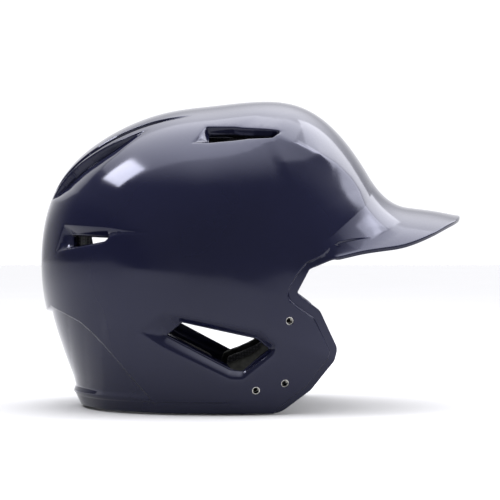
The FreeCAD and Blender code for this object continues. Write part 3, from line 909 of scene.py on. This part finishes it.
def gloss_plastic():
    """Moulded, glossy navy: slight flow in the colour, faint ripple, uneven gloss, scuffed edges."""
    m = Nodes("navy_gloss_plastic", (0.006, 0.0066, 0.021), 0.1)
    flow = m.noise(9.0, 3.0)
    tint = m.blend(m.ramp(flow, 0, 1, 0.35, 0.65), (0.0052, 0.0058, 0.019), (0.0068, 0.0075, 0.0235))
    edge = m.new("NewGeometry").outputs["Pointiness"]
    worn = m.ramp(edge, 0.0, 0.25, 0.56, 0.66)
    mix = m.new("Mix", [(0, worn), (6, tint)], data_type="RGBA")
    mix.inputs[7].default_value = (0.04, 0.042, 0.07, 1)
    m.link(mix.outputs[2], "Base Color")
    m.link(m.ramp(m.noise(55.0, 6.0), 0.075, 0.15, 0.3, 0.75), "Roughness")
    m.bump(m.noise(38.0, 1.0), 0.06, 0.0006)
    m.set("IOR", 1.45)
    m.set("Specular Tint", (0.8, 0.82, 1.0, 1))
    return m.material


def foam():
    """Moulded closed-cell foam: fused beads, dark olive grey."""
    m = Nodes("impact_foam", (0.014, 0.014, 0.012), 0.85)
    cells = m.new("TexVoronoi", [("Vector", m.place)], Scale=420.0).outputs["Distance"]
    tint = m.blend(m.ramp(cells, 0, 1, 0.1, 0.8), (0.020, 0.021, 0.017), (0.009, 0.009, 0.008))
    m.link(tint, "Base Color")
    m.link(m.ramp(m.noise(90.0, 4.0), 0.7, 0.95, 0.3, 0.7), "Roughness")
    m.bump(cells, 0.5, 0.0008)
    m.set("Specular IOR Level", 0.3)
    return m.material


def fabric():
    """Brushed knit over soft foam: crossed ribs one millimetre apart, sheen and lint."""
    m = Nodes("comfort_fabric", (0.025, 0.026, 0.03), 0.9)
    waves = []
    for axis, distortion in (("X", 0.6), ("Z", 0.6)):
        waves.append(m.new("TexWave", [("Vector", m.place)], bands_direction=axis, Scale=150.0,
                           Distortion=distortion, Detail=1.0).outputs["Fac"])
    knit = m.new("Math", [(0, waves[0]), (1, waves[1])], operation="MULTIPLY").outputs[0]
    lint = m.noise(600.0, 2.0)
    m.link(m.blend(m.ramp(knit, 0, 1, 0, 1), (0.014, 0.015, 0.018), (0.046, 0.047, 0.054)), "Base Color")
    m.link(m.ramp(lint, 0.8, 1.0, 0.3, 0.7), "Roughness")
    first = m.bump(knit, 0.7, 0.0005)
    m.bump(lint, 0.25, 0.0003, first)
    m.set("Sheen Weight", 0.35)
    m.set("Sheen Roughness", 0.5)
    return m.material


def plated_steel():
    m = Nodes("insert_metal", (0.62, 0.61, 0.58), 0.28, 1.0)
    grime = m.noise(700.0, 4.0)
    m.link(m.blend(m.ramp(grime, 0, 1, 0.35, 0.7), (0.66, 0.65, 0.61), (0.42, 0.41, 0.38)), "Base Color")
    m.link(m.ramp(grime, 0.2, 0.45, 0.3, 0.7), "Roughness")
    m.bump(m.noise(1500.0, 2.0), 0.15, 0.0001)
    return m.material


def tape():
    """Hook and loop tape: a dense fuzz of loops."""
    m = Nodes("hook_and_loop", (0.02, 0.02, 0.021), 0.95)
    loops = m.new("TexVoronoi", [("Vector", m.place)], Scale=1400.0).outputs["Distance"]
    m.link(m.blend(m.ramp(loops, 0, 1, 0, 0.8), (0.03, 0.03, 0.032), (0.011, 0.011, 0.012)), "Base Color")
    m.link(m.ramp(m.noise(300.0), 0.85, 1.0, 0.3, 0.7), "Roughness")
    m.bump(loops, 0.8, 0.0004)
    m.set("Sheen Weight", 0.3)
    return m.material


PLASTIC, FOAM, FABRIC, STEEL, TAPE = gloss_plastic(), foam(), fabric(), plated_steel(), tape()
shell.data.materials.append(PLASTIC)
for node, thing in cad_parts.items():
    if node.startswith("threaded_insert"):
        thing.data.materials.clear()
        thing.data.materials.append(STEEL)
    if node == "hook_and_loop_dots":
        thing.data.materials.clear()
        thing.data.materials.append(TAPE)


# ---------------------------------------------------------------- pads, in metres
SOFT_VOXEL, FIRM_VOXEL = 0.0024, 0.0028
MOST_SWELL = 0.0016
FRAMES = 20
CROWN = 0.0009  # how far a comfort pad's middle stands up
CHANNEL_DEPTH, CHANNEL_PLACE = 0.0016, 0.0065  # the sewn channel, in from the outline


def shape_of(piece):
    """The mesh with its modifiers applied."""
    bpy.context.view_layer.update()
    made = bpy.data.meshes.new_from_object(piece.evaluated_get(bpy.context.evaluated_depsgraph_get()))
    piece.modifiers.clear()
    return made


def vertices(mesh):
    out = np.empty(len(mesh.vertices) * 3)
    mesh.vertices.foreach_get("co", out)
    return out.reshape(-1, 3)


def vertex_normals(mesh):
    out = np.empty(len(mesh.vertices) * 3)
    mesh.vertex_normals.foreach_get("vector", out)
    return out.reshape(-1, 3)


def put(mesh, points):
    mesh.vertices.foreach_set("co", points.ravel())
    mesh.update()


def relax(mesh, rounds, amount):
    """Rounds the edges off by moving each point towards its neighbours."""
    pairs = np.empty(len(mesh.edges) * 2, int)
    mesh.edges.foreach_get("vertices", pairs)
    pairs = pairs.reshape(-1, 2)
    points = vertices(mesh)
    count = np.bincount(pairs.ravel(), minlength=len(points))[:, None]
    for _ in range(rounds):
        total = np.zeros_like(points)
        np.add.at(total, pairs[:, 0], points[pairs[:, 1]])
        np.add.at(total, pairs[:, 1], points[pairs[:, 0]])
        points += (total / count - points) * amount
    put(mesh, points)


def blank_of(node, voxel, shrink):
    """A fresh, even mesh of a pad's solid, a little smaller than it."""
    piece = bpy.data.objects.new(node + "_soft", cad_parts[node].data.copy())
    bpy.context.scene.collection.objects.link(piece)
    grid = piece.modifiers.new("grid", "REMESH")
    grid.mode, grid.voxel_size = "VOXEL", voxel
    piece.data = shape_of(piece)
    relax(piece.data, 3, 0.5)
    put(piece.data, vertices(piece.data) - vertex_normals(piece.data) * shrink)
    return piece


def swell(pieces, most):
    """Blows the pads up as cloth, all at once, and keeps the result as plain meshes."""
    for piece in pieces:
        cloth = piece.modifiers.new("cloth", "CLOTH")
        cloth.settings.quality = 5
        cloth.settings.mass = 0.2
        cloth.settings.tension_stiffness = cloth.settings.compression_stiffness = 25
        cloth.settings.bending_stiffness = 2
        cloth.settings.use_pressure = True
        cloth.settings.uniform_pressure_force = 4
        cloth.settings.effector_weights.gravity = 0
        cloth.collision_settings.use_collision = False
        cloth.collision_settings.use_self_collision = False
        cloth.point_cache.frame_start, cloth.point_cache.frame_end = 1, FRAMES
    for step in range(1, FRAMES + 1):
        bpy.context.scene.frame_set(step)
    for piece in pieces:
        before = vertices(piece.data)
        blown = vertices(shape_of(piece))
        move = blown - before
        far = np.linalg.norm(move, axis=1)[:, None]
        put(piece.data, before + move * np.minimum(1, most / np.maximum(far, 1e-9)))
    bpy.context.scene.frame_set(1)


def finish_pad(piece, node, material, sewn):
    """One subdivision, a sewn channel along the outline, then the pad's place in the frame."""
    finer = piece.modifiers.new("finer", "SUBSURF")
    finer.levels = finer.render_levels = 1
    piece.data = shape_of(piece)
    if sewn:
        points, facing = vertices(piece.data), vertex_normals(piece.data)
        inward = np.array([CX, 0, CZ]) / 1000 - points
        inward /= np.linalg.norm(inward, axis=1)[:, None]
        lean = (facing * inward).sum(1)
        border = points[np.abs(lean) < 0.3]
        tree = KDTree(len(border))
        for k, p in enumerate(border.tolist()):
            tree.insert(p, k)
        tree.balance()
        far = np.array([tree.find(p)[2] for p in points.tolist()])
        crown = CROWN * np.clip(far / 0.014, 0, 1) ** 0.6
        channel = CHANNEL_DEPTH * np.exp(-(((far - CHANNEL_PLACE) / 0.0011) ** 2))
        points += facing * ((crown - channel) * (lean > 0.45))[:, None]
        put(piece.data, points)
    piece.data.polygons.foreach_set("use_smooth", [True] * len(piece.data.polygons))
    piece.data.materials.clear()
    piece.data.materials.append(material)
    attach(piece, "root")
    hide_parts(node)


firm = sorted(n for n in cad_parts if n.endswith("_pad") and "comfort" not in n)
soft_ones = sorted(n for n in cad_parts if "comfort" in n)
blanks = [blank_of(n, SOFT_VOXEL, 0.0006) for n in soft_ones]
swell(blanks, MOST_SWELL)
for piece, node in zip(blanks, soft_ones):
    finish_pad(piece, node, FABRIC, True)
for node in firm:
    finish_pad(blank_of(node, FIRM_VOXEL, 0.0), node, FOAM, False)

# ---------------------------------------------------------------- floor, world and light
floor_mesh = bpy.data.meshes.new("floor")
REACH, LEVEL = 12.0, -0.0003
floor_mesh.from_pydata([(-REACH, -REACH, LEVEL), (REACH, -REACH, LEVEL), (REACH, REACH, LEVEL),
                        (-REACH, REACH, LEVEL)], [], [(0, 1, 2, 3)])
floor = bpy.data.objects.new("floor", floor_mesh)
bpy.context.scene.collection.objects.link(floor)
paper = Nodes("floor", (0.42, 0.42, 0.42), 0.9)
paper.link(paper.blend(paper.noise(3.0), (0.41, 0.41, 0.41), (0.43, 0.43, 0.43)), "Base Color")
floor_mesh.materials.append(paper.material)

bpy.context.scene.view_settings.view_transform = "Standard"
world = bpy.data.worlds.new("world")
bpy.context.scene.world = world
world.use_nodes = True
tree = world.node_tree
backdrop = tree.nodes["Background"]


def lean(direction):
    """How far the view into the world points along a direction."""
    node = tree.nodes.new("ShaderNodeVectorMath")
    node.operation = "DOT_PRODUCT"
    tree.links.new(tree.nodes.new("ShaderNodeTexCoord").outputs["Generated"], node.inputs[0])
    node.inputs[1].default_value = direction
    return node.outputs["Value"]


def shade(value, start, end, low, high):
    """A smooth change from low to high, as the value goes from start to end."""
    node = tree.nodes.new("ShaderNodeMapRange")
    node.interpolation_type = "SMOOTHSTEP"
    for key, number in (("From Min", start), ("From Max", end), ("To Min", low), ("To Max", high)):
        node.inputs[key].default_value = number
    tree.links.new(value, node.inputs["Value"])
    return node.outputs["Result"]


def combine(operation, first, second):
    node = tree.nodes.new("ShaderNodeMath")
    node.operation = operation
    tree.links.new(first, node.inputs[0])
    tree.links.new(second, node.inputs[1])
    return node.outputs[0]


# bright overhead, paler towards the back, darker on the front side and away to the left
behind = shade(lean((0.0, 1.0, 0.0)), 0.2, 0.8, 0.28, 1.15)
above = shade(lean((0.2, 0.15, 0.95)), 0.5, 0.95, 0.0, 4.0)
away_left = shade(lean((1.0, 0.0, 1.2)), -0.55, -0.16, 0.5, 1.0)
tree.links.new(combine("MULTIPLY", combine("ADD", behind, above), away_left), backdrop.inputs["Strength"])
backdrop.inputs["Color"].default_value = (0.97, 0.97, 1.0, 1)


def softbox(name, place, aim, width, height, radiance):
    """A rectangular lamp of that radiance, turned to its aim."""
    light = bpy.data.lights.new(name, "AREA")
    light.shape = "RECTANGLE"
    light.size, light.size_y = width, height
    light.energy = radiance * math.pi * width * height
    light.color = (0.95, 0.95, 1.0)
    lamp = bpy.data.objects.new(name, light)
    lamp.location = place
    lamp.rotation_euler = (Vector(aim) - Vector(place)).to_track_quat("-Z", "Y").to_euler()
    bpy.context.scene.collection.objects.link(lamp)


def seen_from(x, z, distance):
    """Where a lamp goes to be mirrored, for the camera, in the shell's right side at (x, z)."""
    q = side([(x, z)])
    p, n = dome(q)[0], normals(dome, q)[0]
    n = n if n[1] < 0 else -n
    to_camera = np.array(camera.location) * 1000 - p
    to_camera /= np.linalg.norm(to_camera)
    out = 2 * (to_camera @ n) * n - to_camera
    return tuple((p + out * distance * 1000) / 1000), tuple(p / 1000)


softbox("overhead", (-0.3, 0.15, 1.6), (-0.3, 0.15, 0), 2.2, 1.5, 1.8)
softbox("front", (1.09, 0.49, 0.98), (0.05, 0, 0.12), 1.28, 1.0, 3.0)
softbox("front_strip", (1.15, 0.11, 1.05), (0.05, 0, 0.12), 0.42, 1.1, 4.5)
softbox("front_top", (0.82, -0.14, 1.16), (0.05, 0, 0.12), 0.3, 0.41, 5.0)
place, aim = seen_from(-84, 158, 1.1)
softbox("patch", place, aim, 0.4, 0.3, 20.0)
